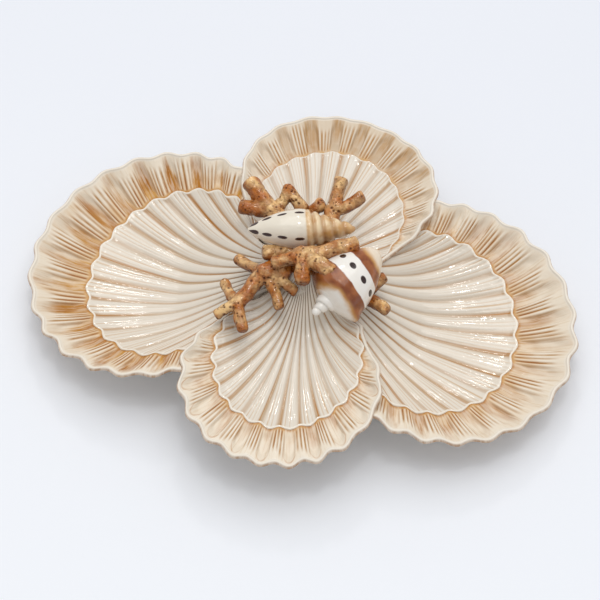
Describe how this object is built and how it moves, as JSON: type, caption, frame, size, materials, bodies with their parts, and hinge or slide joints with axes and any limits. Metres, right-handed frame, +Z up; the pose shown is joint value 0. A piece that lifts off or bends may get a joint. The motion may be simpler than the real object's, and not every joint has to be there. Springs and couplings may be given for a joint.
{
  "type": "sectioned shell dish",
  "caption": "Glazed ceramic serving dish of overlapping fluted scallop sections round a hub topped with snail shells and branching coral.",
  "frame": {"origin": "on the table, under the middle of the dish's overall length and width", "axes": "+X towards the right-hand large section, +Y towards the back small section, +Z up"},
  "size_m": [0.3862, 0.2934, 0.0826],
  "materials": {
    "ivory_glaze": "gloss",
    "stained_glaze": "gloss",
    "coral_glaze": "satin",
    "cone_glaze": "gloss",
    "snail_glaze": "gloss",
    "foot_clay": "matte"
  },
  "bodies": {
    "root": {"right_outer_shell": "stained_glaze", "right_inner_shell": "ivory_glaze", "right_foot": "foot_clay", "left_outer_shell": "stained_glaze", "left_inner_shell": "ivory_glaze", "left_foot": "foot_clay", "front_outer_shell": "stained_glaze", "front_inner_shell": "ivory_glaze", "back_outer_shell": "stained_glaze", "back_inner_shell": "ivory_glaze", "hub": "ivory_glaze", "cone_shell": "cone_glaze", "banded_snail": "snail_glaze", "coral_centre": "coral_glaze", "coral_front_left": "coral_glaze", "coral_left_stub": "coral_glaze", "coral_back_left": "coral_glaze", "coral_back_middle": "coral_glaze", "coral_back_right": "coral_glaze", "coral_right": "coral_glaze"}
  },
  "joints": []
}
